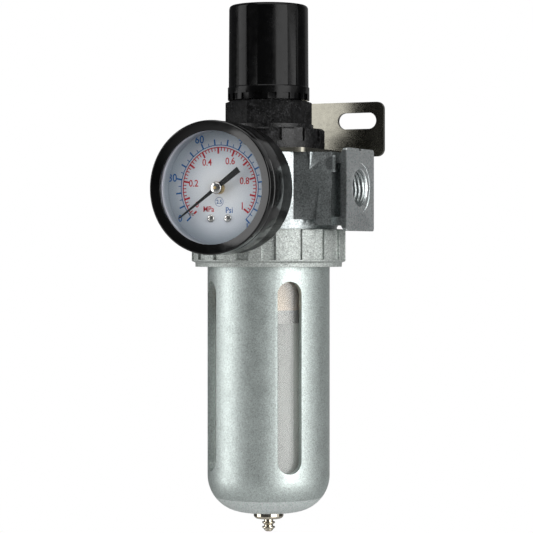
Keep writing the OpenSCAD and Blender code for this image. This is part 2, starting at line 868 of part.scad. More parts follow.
module gauge_dial() {
    color("white") gauge_placed() difference() {
        rod(dial_r, dial_face - dial_thickness, dial_face);
        rod(1.2, dial_face - dial_thickness - cut, dial_face + cut, 32);
        for (side = [-1, 1]) translate([side * dial_screw_spread, dial_screw_drop, 0])
            rod(0.75, dial_face - dial_thickness - cut, dial_face + cut, 24);
        rotate([0, 0, pointer_zero + 6]) translate([12.4, 0, 0])
            rod(0.4, dial_face - dial_thickness - cut, dial_face + cut, 24);
    }
}

// Two pan-head screws that hold the dial on the movement
module dial_screws() {
    color(steel) gauge_placed() for (side = [-1, 1])
        translate([side * dial_screw_spread, dial_screw_drop, 0]) difference() {
            union() {
                rod(0.75, movement_front - 1.2, dial_face);
                rod(1.3, dial_face, dial_face + 0.4);
                taper(1.3, 0.9, dial_face + 0.4, dial_face + 0.7);
            }
            translate([0, 0, dial_face + 0.6]) cube([3, 0.3, 0.5], center = true);
        }
}

module stop_pin() {
    color(steel) gauge_placed() rotate([0, 0, pointer_zero + 6]) translate([12.4, 0, 0])
        rod(0.4, dial_face - dial_thickness, pointer_plane + pointer_thickness + 0.2, 24);
}

// Flattened tube bent into an open ring, from the socket block round to the free end
module bourdon_tube() {
    color(brass) gauge_placed() translate([0, 0, case_back + case_wall + 1.6]) {
        rotate([0, 0, -80]) rotate_extrude(angle = 250)
            translate([bourdon_r, 0]) rounded_rectangle([1.8, 2.6], 0.7);
        translate([1.5, -bourdon_r + 0.3, -1.1]) cube([1.6, bourdon_r - 0.3 - socket_block / 2, 2.2]);
    }
}

// Two plates and four pillars that carry the pointer's shaft
module gauge_movement() {
    low = case_back + case_wall + 3;
    color(brass) gauge_placed() difference() {
        union() {
            translate([-5.6, -11, low]) cube([11.2, 17, 1]);
            translate([-7, -12, movement_front - 1.2]) cube([14, 19, 1.2]);
            for (x = [-4.5, 4.5], y = [-7, 4.5]) translate([x, y, 0]) rod(1, low, movement_front, 24);
            for (side = [-1, 1]) translate([side * dial_screw_spread, dial_screw_drop, 0])
                rod(1.3, movement_front, dial_face - dial_thickness, 24);
        }
        rod(shaft_r + running, low - cut, movement_front + cut, 32);
        for (side = [-1, 1]) translate([side * dial_screw_spread, dial_screw_drop, 0])
            rod(0.75, movement_front - 1.2, dial_face + cut, 24);
    }
}

// Shaft with its pinion between the plates
module pointer_shaft() {
    low = case_back + case_wall + 3.1;
    color(steel) gauge_placed() {
        rod(shaft_r, low, pointer_plane + pointer_thickness);
        rod(1.5, low + 1.5, low + 3.2, 32);
    }
}

// Thin tapered blade with a broad tail, lying along the zero mark
module gauge_pointer() {
    tip_half = 0.22;
    root_half = 0.6;
    tail_half = 0.8;
    tail_end_half = 1;
    color("black") gauge_placed() rotate([0, 0, pointer_zero])
        translate([0, 0, pointer_plane]) linear_extrude(height = pointer_thickness) difference() {
            union() {
                polygon([
                    [-pointer_tail, -tail_end_half], [-2, -tail_half], [0, -root_half],
                    [pointer_length - 1, -tip_half], [pointer_length, 0], [pointer_length - 1, tip_half],
                    [0, root_half], [-2, tail_half], [-pointer_tail, tail_end_half]
                ]);
                circle(r = 1.7, $fn = 48);
            }
            circle(r = collet_neck_r, $fn = 32);
        }
}

// Brass collet on the shaft, riveted through the pointer
module pointer_collet() {
    color(brass) gauge_placed() difference() {
        union() {
            rod(2, dial_face + 0.2, pointer_plane, 48);
            rod(collet_neck_r, pointer_plane, pointer_plane + pointer_thickness, 32);
        }
        rod(shaft_r, dial_face, pointer_plane + pointer_thickness + cut, 32);
    }
}

// Cap over the pointer, turned in one with its small centre pip
module pointer_hub() {
    base = pointer_plane + pointer_thickness;
    color(steel) gauge_placed() {
        rod(1.9, base, base + 0.7, 48);
        rod(0.8, base + 0.7, base + 0.95, 32);
    }
}

body_casting();
rear_plug();
valve_seat();
bonnet();
panel_nut();
mounting_bracket();
thrust_washer();
adjusting_screw();
adjusting_knob();
spring_nut();
regulating_spring();
spring_seat();
diaphragm();
diaphragm_plate();
valve_stem();
valve_poppet();
poppet_seal();
valve_spring();
valve_guide();
swirl_deflector();
filter_seal();
filter_element();
baffle();
filter_bolt();
bowl_o_ring();
bowl();
bowl_guard();
lock_ring();
drain_body();
drain_gasket();
drain_nut();
drain_stem();
drain_seal();
drain_spring();
gauge_socket();
gauge_washer();
gauge_case();
gauge_bezel();
lens_gasket();
gauge_lens();
gauge_dial();
dial_screws();
stop_pin();
bourdon_tube();
gauge_movement();
pointer_shaft();
gauge_pointer();
pointer_collet();
pointer_hub();
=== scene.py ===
import json
import math

import bmesh
import bpy
from mathutils import Matrix, Vector


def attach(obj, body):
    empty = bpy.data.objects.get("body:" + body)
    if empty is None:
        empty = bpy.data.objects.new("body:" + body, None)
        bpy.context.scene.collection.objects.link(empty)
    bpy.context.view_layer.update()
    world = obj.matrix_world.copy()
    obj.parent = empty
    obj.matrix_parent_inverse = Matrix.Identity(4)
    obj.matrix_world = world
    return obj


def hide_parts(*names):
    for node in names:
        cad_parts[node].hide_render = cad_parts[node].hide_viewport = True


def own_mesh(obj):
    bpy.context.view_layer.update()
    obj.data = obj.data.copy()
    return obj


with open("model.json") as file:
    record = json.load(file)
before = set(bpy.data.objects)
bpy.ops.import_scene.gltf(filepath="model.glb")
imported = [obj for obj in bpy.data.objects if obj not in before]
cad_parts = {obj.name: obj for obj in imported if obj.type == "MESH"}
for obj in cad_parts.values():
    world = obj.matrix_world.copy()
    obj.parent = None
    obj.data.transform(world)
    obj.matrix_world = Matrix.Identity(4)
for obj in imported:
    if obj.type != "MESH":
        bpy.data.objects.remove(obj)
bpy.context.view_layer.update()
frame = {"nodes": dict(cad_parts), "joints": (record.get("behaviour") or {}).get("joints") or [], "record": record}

NODES = frame["nodes"]
RECORD = frame["record"]
MM = 0.001
BODY_OF = {node: body for body, nodes in RECORD["behaviour"]["bodies"].items() for node in nodes}
MOUNTS = {mount["name"]: mount for mount in RECORD["mounts"]}

# The main axis runs up through the knob and the bowl, and the port axis crosses it
AXIS_Y = MOUNTS["outlet_port"]["pos_m"][1]
PORT_Z = MOUNTS["outlet_port"]["pos_m"][2]


def at(x, y, z):
    """A point given in millimetres from where the main axis meets the port axis."""
    return Vector((x * MM, AXIS_Y + y * MM, PORT_Z + z * MM))


# ---------------------------------------------------------------- gauge frame, in millimetres

JOINTS = {joint["name"]: joint for joint in frame["joints"]}
GAUGE_HEIGHT = (JOINTS["pointer_turn"]["pos_m"][2] - PORT_Z) / MM
# Distances forward of the main axis
DIAL_FACE = 36.5
HUB_BASE = 39.1
LENS_BACK = 41.2
LENS_FRONT = 43.2
BEZEL_FRONT = 44.6
# Radii about the gauge's own axis
OPENING_R = 18.1
CASE_R = 20.9
BEZEL_R = 21.4
# The dial's zero, in degrees anticlockwise from the right, and its sweep to 1 MPa
ZERO_ANGLE = 222
SWEEP = 260
PSI_PER_MPA = 145.04


def on_gauge(x, y, forward):
    """A point in the gauge's own frame: x right, y up, and forward from the main axis."""
    return at(x, -forward, GAUGE_HEIGHT + y)


# ---------------------------------------------------------------- camera and stage

CAMERA_TURN = math.radians(25)
CAMERA_DISTANCE = 700
CAMERA_HEIGHT = -20.4
FOCAL_LENGTH = 140.8
FRAME_SHIFT = (-0.004, -0.031)

LIGHT_AIM_HEIGHT = -30
FLOOR_HEIGHT = -420
FLOOR_SIZE = 300
FILL_LIGHT = 0.07


def make_camera():
    data = bpy.data.cameras.new("camera")
    data.lens = FOCAL_LENGTH
    data.sensor_width = 36
    data.shift_x, data.shift_y = FRAME_SHIFT
    data.clip_start = 0.01
    data.clip_end = 100
    camera = bpy.data.objects.new("camera", data)
    bpy.context.scene.collection.objects.link(camera)
    camera.location = at(
        CAMERA_DISTANCE * math.sin(CAMERA_TURN), -CAMERA_DISTANCE * math.cos(CAMERA_TURN), CAMERA_HEIGHT
    )
    camera.rotation_euler = (math.radians(90), 0, CAMERA_TURN)
    bpy.context.scene.camera = camera


def soft_box(name, turn, elevation, distance, size, radiance):
    """A soft box aimed at the object, at an azimuth counted from the camera's."""
    energy_per_radiance = 4 * size[0] * size[1]
    data = bpy.data.lights.new(name, "AREA")
    data.shape = "RECTANGLE"
    data.size, data.size_y = size
    data.energy = energy_per_radiance * radiance
    light = bpy.data.objects.new(name, data)
    bpy.context.scene.collection.objects.link(light)
    level = distance * math.cos(math.radians(elevation))
    rise = distance * math.sin(math.radians(elevation))
    aim = at(0, 0, LIGHT_AIM_HEIGHT)
    turn = CAMERA_TURN + math.radians(turn)
    light.location = aim + Vector((level * math.sin(turn), -level * math.cos(turn), rise))
    light.rotation_euler = (aim - light.location).to_track_quat("-Z", "Y").to_euler()


def seen_differently(tree, lighting, seen, output):
    """Shows the camera one shader, while the object is lit by and reflects another."""
    mix = tree.nodes.new("ShaderNodeMixShader")
    path = tree.nodes.new("ShaderNodeLightPath")
    tree.links.new(path.outputs["Is Camera Ray"], mix.inputs[0])
    tree.links.new(lighting, mix.inputs[1])
    tree.links.new(seen, mix.inputs[2])
    tree.links.new(mix.outputs[0], output)


def make_world():
    world = bpy.data.worlds.new("studio")
    bpy.context.scene.world = world
    world.use_nodes = True
    tree = world.node_tree
    tree.nodes.clear()
    output = tree.nodes.new("ShaderNodeOutputWorld")
    seen = tree.nodes.new("ShaderNodeBackground")
    lighting = tree.nodes.new("ShaderNodeBackground")
    seen.inputs["Color"].default_value = (1, 1, 1, 1)
    lighting.inputs["Color"].default_value = (0.96, 0.98, 1, 1)
    lighting.inputs["Strength"].default_value = FILL_LIGHT
    seen_differently(tree, lighting.outputs[0], seen.outputs[0], output.inputs["Surface"])


def make_floor():
    half = FLOOR_SIZE / 2
    corners = [(-half, -half, 0), (half, -half, 0), (half, half, 0), (-half, half, 0)]
    mesh = bpy.data.meshes.new("floor")
    mesh.from_pydata(corners, [], [(0, 1, 2, 3)])
    floor = bpy.data.objects.new("floor", mesh)
    floor.location = at(0, 0, FLOOR_HEIGHT)
    bpy.context.scene.collection.objects.link(floor)
    paint = principled("floor_paint", (0.6, 0.6, 0.6), roughness=0.9)
    tree = paint.node_tree
    glow = tree.nodes.new("ShaderNodeEmission")
    glow.inputs["Color"].default_value = (1, 1, 1, 1)
    seen_differently(
        tree, tree.nodes["Principled BSDF"].outputs[0], glow.outputs[0],
        tree.nodes["Material Output"].inputs["Surface"],
    )
    mesh.materials.append(paint)


def make_stage():
    bpy.context.scene.view_settings.view_transform = "Standard"
    make_world()
    make_floor()
    soft_box("left_soft_box", -82, 0, 1.0, (0.6, 1.5), 2.0)
    soft_box("right_soft_box", 42, 0, 1.0, (0.8, 1.5), 2.7)
    soft_box("side_soft_box", 78, 0, 1.1, (0.36, 1.4), 0.7)
    soft_box("top_soft_box", 0, 70, 1.1, (1.6, 0.9), 1.3)
    soft_box("rear_soft_box", 152, 0, 1.2, (0.9, 1.4), 0.17)


# ---------------------------------------------------------------- materials

def principled(name, color, roughness=0.5, metallic=0.0, **sockets):
    material = bpy.data.materials.new(name)
    material.use_nodes = True
    shader = material.node_tree.nodes["Principled BSDF"]
    shader.inputs["Base Color"].default_value = (*color, 1)
    shader.inputs["Roughness"].default_value = roughness
    shader.inputs["Metallic"].default_value = metallic
    for socket, value in sockets.items():
        shader.inputs[socket.replace("_", " ")].default_value = value
    return material


class Surface:
    """Adds procedural variation to a Principled material, in object coordinates, which are in metres."""

    def __init__(self, material):
        self.material = material
        self.tree = material.node_tree
        self.shader = self.tree.nodes["Principled BSDF"]
        self.coords = self.tree.nodes.new("ShaderNodeTexCoord")
        self.last_bump = None

    def noise(self, scale, detail=3, roughness=0.55, stretch=(1, 1, 1)):
        mapping = self.tree.nodes.new("ShaderNodeMapping")
        mapping.inputs["Scale"].default_value = stretch
        node = self.tree.nodes.new("ShaderNodeTexNoise")
        node.inputs["Scale"].default_value = scale
        node.inputs["Detail"].default_value = detail
        node.inputs["Roughness"].default_value = roughness
        self.tree.links.new(self.coords.outputs["Object"], mapping.inputs["Vector"])
        self.tree.links.new(mapping.outputs["Vector"], node.inputs["Vector"])
        return node.outputs["Fac"]

    def cells(self, scale):
        node = self.tree.nodes.new("ShaderNodeTexVoronoi")
        node.inputs["Scale"].default_value = scale
        self.tree.links.new(self.coords.outputs["Object"], node.inputs["Vector"])
        return node

    def place(self, coordinate):
        """One coordinate, X, Y or Z, of the point that is shaded."""
        node = self.tree.nodes.new("ShaderNodeSeparateXYZ")
        self.tree.links.new(self.coords.outputs["Object"], node.inputs[0])
        return node.outputs[coordinate]

    def distance(self, centre):
        """How far the point that is shaded lies from a centre."""
        node = self.tree.nodes.new("ShaderNodeVectorMath")
        node.operation = "DISTANCE"
        node.inputs[1].default_value = centre
        self.tree.links.new(self.coords.outputs["Object"], node.inputs[0])
        return node.outputs["Value"]

    def main_axis_distance(self):
        """How far the point that is shaded lies from the main axis."""
        flat = self.tree.nodes.new("ShaderNodeVectorMath")
        flat.operation = "MULTIPLY_ADD"
        flat.inputs[1].default_value = (1, 1, 0)
        flat.inputs[2].default_value = (0, -AXIS_Y, 0)
        self.tree.links.new(self.coords.outputs["Object"], flat.inputs[0])
        radius = self.tree.nodes.new("ShaderNodeVectorMath")
        radius.operation = "LENGTH"
        self.tree.links.new(flat.outputs[0], radius.inputs[0])
        return radius.outputs["Value"]

    def ramp(self, factor, stops):
        node = self.tree.nodes.new("ShaderNodeValToRGB")
        elements = node.color_ramp.elements
        while len(elements) < len(stops):
            elements.new(0.5)
        for element, (place, color) in zip(elements, stops):
            element.position = place
            element.color = (*color, 1)
        self.tree.links.new(factor, node.inputs["Fac"])
        return node.outputs["Color"]

    def spread(self, factor, low, high, start=0.3, end=0.7):
        node = self.tree.nodes.new("ShaderNodeMapRange")
        node.inputs["From Min"].default_value = start
        node.inputs["From Max"].default_value = end
        node.inputs["To Min"].default_value = low
        node.inputs["To Max"].default_value = high
        self.tree.links.new(factor, node.inputs["Value"])
        return node.outputs["Result"]

    def calc(self, operation, *values):
        node = self.tree.nodes.new("ShaderNodeMath")
        node.operation = operation
        for socket, value in zip(node.inputs, values):
            if isinstance(value, bpy.types.NodeSocket):
                self.tree.links.new(value, socket)
            else:
                socket.default_value = value
        return node.outputs[0]

    def driver_of(self, socket):
        return self.shader.inputs[socket].links[0].from_socket

    def drive(self, output, socket):
        self.tree.links.new(output, self.shader.inputs[socket])

    def color(self, factor, *stops):
        self.drive(self.ramp(factor, stops), "Base Color")

    def scale_color(self, part, low, high):
        """Multiplies the colour by a factor that goes from low to high as part goes from 0 to 1."""
        node = self.tree.nodes.new("ShaderNodeVectorMath")
        node.operation = "SCALE"
        self.tree.links.new(self.driver_of("Base Color"), node.inputs[0])
        self.tree.links.new(self.calc("MULTIPLY_ADD", part, high - low, low), node.inputs["Scale"])
        self.drive(node.outputs[0], "Base Color")

    def roughness(self, factor, low, high):
        self.drive(self.spread(factor, low, high), "Roughness")

    def bump(self, height, distance, strength=1.0):
        node = self.tree.nodes.new("ShaderNodeBump")
        node.inputs["Distance"].default_value = distance
        node.inputs["Strength"].default_value = strength
        self.tree.links.new(height, node.inputs["Height"])
        if self.last_bump is not None:
            self.tree.links.new(self.last_bump, node.inputs["Normal"])
        self.last_bump = node.outputs["Normal"]
        self.drive(self.last_bump, "Normal")


def scaled(color, factor):
    return tuple(min(1.0, channel * factor) for channel in color)


# Painted light: how much brighter the colour is on the guard's inner wall and on the casting's port end faces than
# on the rest
INNER_WALL_LIGHT_GAIN = 1.5
PORT_FACE_LIGHT_GAIN = 2.35
# What a spot of painted shade under the bracket keeps of its colour, and how much rougher it is
SPOT_PAINTED_SHADE = 0.25
SPOT_ROUGHNESS = 0.3


def metallic_paint(name, color, roughness, metallic, grain, grain_depth, painted_light_within):
    """Metal-flake paint over a fine orange peel; within a distance of the main axis the colour is painted
    brighter, as painted light on the guard's inner wall.
    """
    s = Surface(principled(name, color, roughness, metallic))
    flake = s.cells(grain)
    s.color(flake.outputs["Color"], (0.0, scaled(color, 0.6)), (0.5, color), (1.0, scaled(color, 1.3)))
    # Painted light on the guard's inner wall: brighter colour within a distance of the main axis
    inner_wall_light = s.calc("LESS_THAN", s.main_axis_distance(), painted_light_within)
    s.scale_color(inner_wall_light, 1.0, INNER_WALL_LIGHT_GAIN)
    s.roughness(s.noise(260), roughness - 0.04, roughness + 0.05)
    s.bump(s.noise(grain, detail=3, roughness=0.7), grain_depth)
    return s.material


def blasted_casting(name, color, roughness, grain, grain_depth, painted_light_beyond=None, painted_shade_spot=None):
    """Shot-blasted zinc, speckled light and dark; beyond a distance to the side the port end faces are painted
    brighter, as painted light, and a spot can be given painted shade.
    """
    s = Surface(principled(name, color, roughness, 0.95))
    specks = s.cells(grain)
    s.color(specks.outputs["Color"], (0.0, scaled(color, 0.45)), (0.5, color), (1.0, scaled(color, 1.5)))
    if painted_light_beyond is not None:
        # Painted light: the colour of the port end faces, beyond a distance to the side, is brightened
        sideways = s.calc("ABSOLUTE", s.place("X"))
        s.scale_color(s.calc("GREATER_THAN", sideways, painted_light_beyond), 1.0, PORT_FACE_LIGHT_GAIN)
    s.roughness(s.noise(300, detail=4), roughness - 0.03, roughness + 0.04)
    if painted_shade_spot is not None:
        shade_and_roughen_spot(s, *painted_shade_spot)
    s.bump(s.noise(grain, detail=3, roughness=0.65), grain_depth)
    return s.material


def shade_and_roughen_spot(s, centre, radius):
    """Paints shade on the surface around a point, up to a distance, and leaves it rougher there."""
    outside = s.spread(s.distance(centre), 0.0, 1.0, radius * 0.6, radius)
    # Painted shade: the colour is darkened around the point
    s.scale_color(outside, SPOT_PAINTED_SHADE, 1.0)
    rougher = s.calc("MULTIPLY_ADD", outside, -SPOT_ROUGHNESS, SPOT_ROUGHNESS)
    s.drive(s.calc("ADD", s.driver_of("Roughness"), rougher), "Roughness")


def black_plastic(name, color, roughness, grain_depth, gloss):
    s = Surface(principled(name, color, roughness, Specular_IOR_Level=gloss))
    s.color(s.noise(180), (0.3, scaled(color, 0.8)), (0.7, scaled(color, 1.5)))
    s.roughness(s.noise(420, detail=5), roughness - 0.05, roughness + 0.07)
    s.bump(s.noise(2600, detail=2), grain_depth)
    return s.material


def grained_plastic(name, color, roughness, grain, grain_depth, gloss):
    """Moulded plastic with a spark-eroded grain, whose tips are worn paler."""
    s = Surface(principled(name, color, roughness, Specular_IOR_Level=gloss))
    pits = s.cells(grain)
    s.color(pits.outputs["Color"], (0.3, scaled(color, 0.2)), (0.6, color), (1.0, scaled(color, 10)))
    s.roughness(s.noise(420, detail=5), roughness - 0.05, roughness + 0.07)
    s.bump(s.noise(grain, detail=2), grain_depth)
    return s.material


# The bracket's plate isn't quite flat. PLATE_SLOPE is its sideways slope at the middle, at the height
# PLATE_LEVEL. Towards the right the slope grows at first and then falls off, and upwards it grows
PLATE_SLOPE = 0.27
PLATE_SLOPE_GROWTH = 14
PLATE_SLOPE_FALL = 780
PLATE_TWIST = 2
PLATE_LEVEL = PORT_Z + 28.6 * MM
# How far forward of the main axis the plate's sheared front edge lies, and how much rougher it is
PLATE_FRONT = 18
SHEARED_ROUGHNESS = 0.4


def plated_steel():
    """Satin nickel plate over rolled steel that bows a little, with cloudy warm patches."""
    tint = (0.235, 0.226, 0.19)
    s = Surface(principled("plated_bracket", tint, 0.2, 1.0))
    s.color(s.noise(90, detail=5), (0.25, scaled(tint, 0.85)), (0.75, scaled(tint, 1.12)))
    sheared = s.calc("LESS_THAN", s.place("Y"), at(0, 1 - PLATE_FRONT, 0).y)
    worn = s.spread(s.noise(700, detail=4), 0.22, 0.32)
    s.drive(s.calc("MULTIPLY_ADD", sheared, SHEARED_ROUGHNESS, worn), "Roughness")
    # The height that has the slope above: each term is the integral of one term of the slope
    sideways = s.place("X")
    bow = s.calc("MULTIPLY_ADD", sideways, -PLATE_SLOPE_FALL / 3, PLATE_SLOPE_GROWTH / 2)
    bow = s.calc("MULTIPLY_ADD", sideways, bow, PLATE_SLOPE - PLATE_TWIST * PLATE_LEVEL)
    bow = s.calc("MULTIPLY_ADD", s.place("Z"), PLATE_TWIST, bow)
    s.bump(s.calc("MULTIPLY", bow, sideways), 1.0)
    s.bump(s.noise(1800, detail=3), 0.00001)
    return s.material


def turned_metal(name, color, roughness=0.28):
    s = Surface(principled(name, color, roughness, 1.0))
    s.color(s.noise(350, detail=4), (0.3, scaled(color, 0.82)), (0.7, scaled(color, 1.08)))
    rings = s.noise(1500, detail=2, stretch=(0.15, 0.15, 1))
    s.roughness(rings, roughness * 0.7, roughness * 1.3)
    s.bump(rings, 0.000003)
    return s.material


def soft_material(name, color, roughness, grain, grain_depth):
    s = Surface(principled(name, color, roughness))
    s.color(s.noise(grain * 0.4), (0.3, scaled(color, 0.85)), (0.7, scaled(color, 1.1)))
    s.roughness(s.noise(grain), roughness - 0.06, roughness + 0.06)
    s.bump(s.noise(grain, detail=3), grain_depth)
    return s.material


def filter_material():
    s = Surface(principled("filter_media", (0.8, 0.62, 0.44), 0.9))
    beads = s.cells(2200)
    # Painted shade: each bead's colour darkens towards its edge and into the gaps between beads; the same pattern
    # gives the beads their bump
    s.color(beads.outputs["Distance"], (0.0, (0.76, 0.6, 0.45)), (0.6, (0.54, 0.4, 0.27)))
    s.bump(beads.outputs["Distance"], 0.00012, 0.6)
    return s.material


def see_through(name, color, roughness, index, clearness):
    """Clear plastic that bends light, but lets the lamps through to what is behind it."""
    s = Surface(principled(name, color, roughness, IOR=index, Transmission_Weight=clearness))
    s.roughness(s.noise(240, detail=4), max(0.0, roughness - 0.03), roughness + 0.04)
    tree = s.tree
    path = tree.nodes.new("ShaderNodeLightPath")
    open_air = tree.nodes.new("ShaderNodeBsdfTransparent")
    mix = tree.nodes.new("ShaderNodeMixShader")
    tree.links.new(path.outputs["Is Shadow Ray"], mix.inputs[0])
    tree.links.new(s.shader.outputs["BSDF"], mix.inputs[1])
    tree.links.new(open_air.outputs["BSDF"], mix.inputs[2])
    tree.links.new(mix.outputs["Shader"], tree.nodes["Material Output"].inputs["Surface"])
    return s.material


def dial_ground():
    """Satin white dial plate, greyer towards its rim, where the bezel keeps the light off it."""
    shaded_r = 19.2 * MM
    s = Surface(principled("dial_ground", (0.8, 0.84, 0.88), 0.42))
    outwards = s.calc("DIVIDE", s.distance(on_gauge(0, 0, DIAL_FACE)), shaded_r)
    s.color(
        s.calc("MULTIPLY_ADD", s.noise(60, detail=3), 0.06, outwards),
        (0.35, (0.76, 0.79, 0.82)), (0.68, (0.62, 0.66, 0.71)),
        (0.88, (0.42, 0.47, 0.52)), (1.0, (0.34, 0.38, 0.43)),
    )
    s.roughness(s.noise(900), 0.36, 0.5)
    s.bump(s.noise(3000), 0.000004)
    return s.material


def dial_wall():
    """Painted wall between the dial and the lens, pale at its front edge and in shade further in."""
    s = Surface(principled("dial_wall", (0.5, 0.5, 0.53), 0.5))
    back = on_gauge(0, 0, DIAL_FACE).y
    front = on_gauge(0, 0, LENS_BACK).y
    forward = s.spread(s.place("Y"), 0.0, 1.0, back, front)
    s.color(
        s.calc("MULTIPLY_ADD", s.noise(900), 0.08, forward),
        (0.0, (0.2, 0.23, 0.26)), (0.6, (0.22, 0.25, 0.28)),
        (0.85, (0.34, 0.36, 0.4)), (1.0, (0.5, 0.5, 0.55)),
    )
    s.bump(s.noise(2000), 0.000004)
    return s.material


def printing_ink(name, color):
    s = Surface(principled(name, color, 0.5))
    s.color(s.noise(1400), (0.35, scaled(color, 0.85)), (0.65, scaled(color, 1.12)))
    return s.material


# Within this distance of the main axis the guard's colour is painted brighter, as painted light on its inner wall;
# it also reaches the middle of its underside
GUARD_INNER_LIGHT_R = 18.1 * MM

MATERIALS = {
    # The casting has painted light on its port end faces and painted shade on the boss under the bracket on the
    # outlet side
    "cast_body": blasted_casting(
        "cast_body", (0.38, 0.41, 0.41), roughness=0.33, grain=3400, grain_depth=0.00002,
        painted_light_beyond=33 * MM, painted_shade_spot=(at(28.2, -11.6, 7.7), 3.9 * MM),
    ),
    "cast_ring": blasted_casting(
        "cast_ring", (0.52, 0.55, 0.53), roughness=0.66, grain=4200, grain_depth=0.00003,
    ),
    "guard_paint": metallic_paint(
        "guard_paint", (0.58, 0.64, 0.62), roughness=0.47, metallic=0.9, grain=4500, grain_depth=0.000004,
        painted_light_within=GUARD_INNER_LIGHT_R,
    ),
    "plated_bracket": plated_steel(),
    "black_moulding": grained_plastic(
        "black_moulding", (0.0035, 0.0035, 0.0037), roughness=0.3, grain=2000, grain_depth=0.00012,
        gloss=0.36,
    ),
    "black_knob": black_plastic("black_knob", (0.0012, 0.0012, 0.0013), 0.22, 0.000003, gloss=0.2),
    "black_enamel": black_plastic("black_enamel", (0.001, 0.001, 0.001), 0.13, 0.000002, gloss=0.55),
    "case_enamel": black_plastic("case_enamel", (0.001, 0.001, 0.001), 0.3, 0.000002, gloss=0.08),
    "brass": turned_metal("brass", (0.72, 0.54, 0.26)),
    "nickel_brass": turned_metal("nickel_brass", (0.72, 0.66, 0.54), 0.12),
    "steel": turned_metal("steel", (0.56, 0.55, 0.54), 0.25),
    "bright_steel": turned_metal("bright_steel", (0.8, 0.79, 0.76), 0.14),
    "rubber": soft_material("rubber", (0.018, 0.018, 0.018), 0.6, 1200, 0.00002),
    "white_nylon": soft_material("white_nylon", (0.74, 0.73, 0.69), 0.45, 900, 0.00001),
    "grey_nylon": soft_material("grey_nylon", (0.22, 0.22, 0.21), 0.45, 900, 0.00001),
    "pointer": soft_material("pointer", (0.006, 0.006, 0.006), 0.4, 900, 0.000004),
    "filter_media": filter_material(),
    "clear_bowl": see_through("clear_bowl", (0.985, 0.993, 0.97), 0.1, 1.49, clearness=0.9),
    "lens": see_through("lens", (0.985, 0.99, 0.995), 0.02, 1.45, clearness=1.0),
    "dial": dial_ground(),
    "dial_wall": dial_wall(),
}
RED_INK = printing_ink("red_ink", (0.5, 0.012, 0.025))
BLUE_INK = printing_ink("blue_ink", (0.01, 0.1, 0.32))

SLOT_OF = {part["node"]: part["material_slot"] for part in RECORD["subparts"]}


def dress_cad_nodes():
    """Gives every carried-over CAD node the material of its slot."""
    for name, node in NODES.items():
        node.data.materials.clear()
        node.data.materials.append(MATERIALS[SLOT_OF[name]])


# ---------------------------------------------------------------- mesh helpers

def smooth(mesh, sharp_degrees):
    mesh.shade_smooth()
    mesh.set_sharp_from_angle(angle=math.radians(sharp_degrees))


def add_piece(name, mesh, body, material, sharp_degrees=35):
    piece = bpy.data.objects.new(name, mesh)
    bpy.context.scene.collection.objects.link(piece)
    mesh.materials.clear()
    mesh.materials.append(material)
    smooth(mesh, sharp_degrees)
    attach(piece, body)
    return piece


def finish_mesh(name, build):
    """A mesh from a bmesh, with its normals facing outwards."""
    bmesh.ops.recalc_face_normals(build, faces=build.faces)
    mesh = bpy.data.meshes.new(name)
    build.to_mesh(mesh)
    build.free()
    return mesh


def softened_copy(node, width, segments=2, material=None):
    """A copy of a CAD node with its hard edges broken, which stands in for it."""
    weld_distance = 0.002 * MM
    flat_within = math.radians(1)
    broken_from = math.radians(28)
    build = bmesh.new()
    build.from_mesh(NODES[node].data)
    bmesh.ops.remove_doubles(build, verts=build.verts, dist=weld_distance)
    bmesh.ops.dissolve_limit(build, angle_limit=flat_within, verts=build.verts, edges=build.edges)
    mesh = finish_mesh(node + "_finished", build)
    slot = SLOT_OF[node]
    piece = add_piece(node + "_finished", mesh, BODY_OF[node], material or MATERIALS[slot])
    bevel = piece.modifiers.new("broken_edges", "BEVEL")
    bevel.width = width * MM
    bevel.segments = segments
    bevel.limit_method = "ANGLE"
    bevel.angle_limit = broken_from
    bevel.harden_normals = True
    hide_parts(node)


def lathe(name, profile, place, turns=160, closed=True):
    """Revolves (radius, height) points; place(x, y, height) puts a point in the frame."""
    build = bmesh.new()
    rings = []
    for radius, height in profile:
        if radius < 1e-6:
            rings.append([build.verts.new(place(0, 0, height))] * turns)
            continue
        angles = [2 * math.pi * i / turns for i in range(turns)]
        rings.append([
            build.verts.new(place(radius * math.cos(a), radius * math.sin(a), height)) for a in angles
        ])
    pairs = list(zip(rings, rings[1:]))
    if closed:
        pairs.append((rings[-1], rings[0]))
    for low, high in pairs:
        for i in range(turns):
            j = (i + 1) % turns
            corners = list(dict.fromkeys([low[i], low[j], high[j], high[i]]))
            if len(corners) > 2:
                build.faces.new(corners)
    return finish_mesh(name, build)


def filleted(corners):
    """Points along a closed outline whose (x, y, radius) corners are rounded."""
    steps = 6
    points = []
    count = len(corners)
    for i, (x, y, radius) in enumerate(corners):
        here = Vector((x, y))
        if radius == 0:
            points.append((x, y))
            continue
        back = (Vector(corners[i - 1][:2]) - here).normalized()
        ahead = (Vector(corners[(i + 1) % count][:2]) - here).normalized()
        half = back.angle(ahead) / 2
        reach = radius / math.tan(half)
        centre = here + (back + ahead).normalized() * (radius / math.sin(half))
        start = here + back * reach - centre
        turn = start.angle_signed(here + ahead * reach - centre)
        for k in range(steps + 1):
            arm = start.copy()
            arm.rotate(Matrix.Rotation(-turn * k / steps, 2))
            points.append(tuple(centre + arm))
    return points


# ---------------------------------------------------------------- port threads

THREAD_PITCH = 1.337
THREAD_TURNS = 9
THREAD_CREST_R = 5.25
THREAD_ROOT_R = 5.8
# The thread's outer radius in the casting, and how far to the side of the main axis its mouth lies
THREAD_SLEEVE_R = 6.4
THREAD_START = 32.5


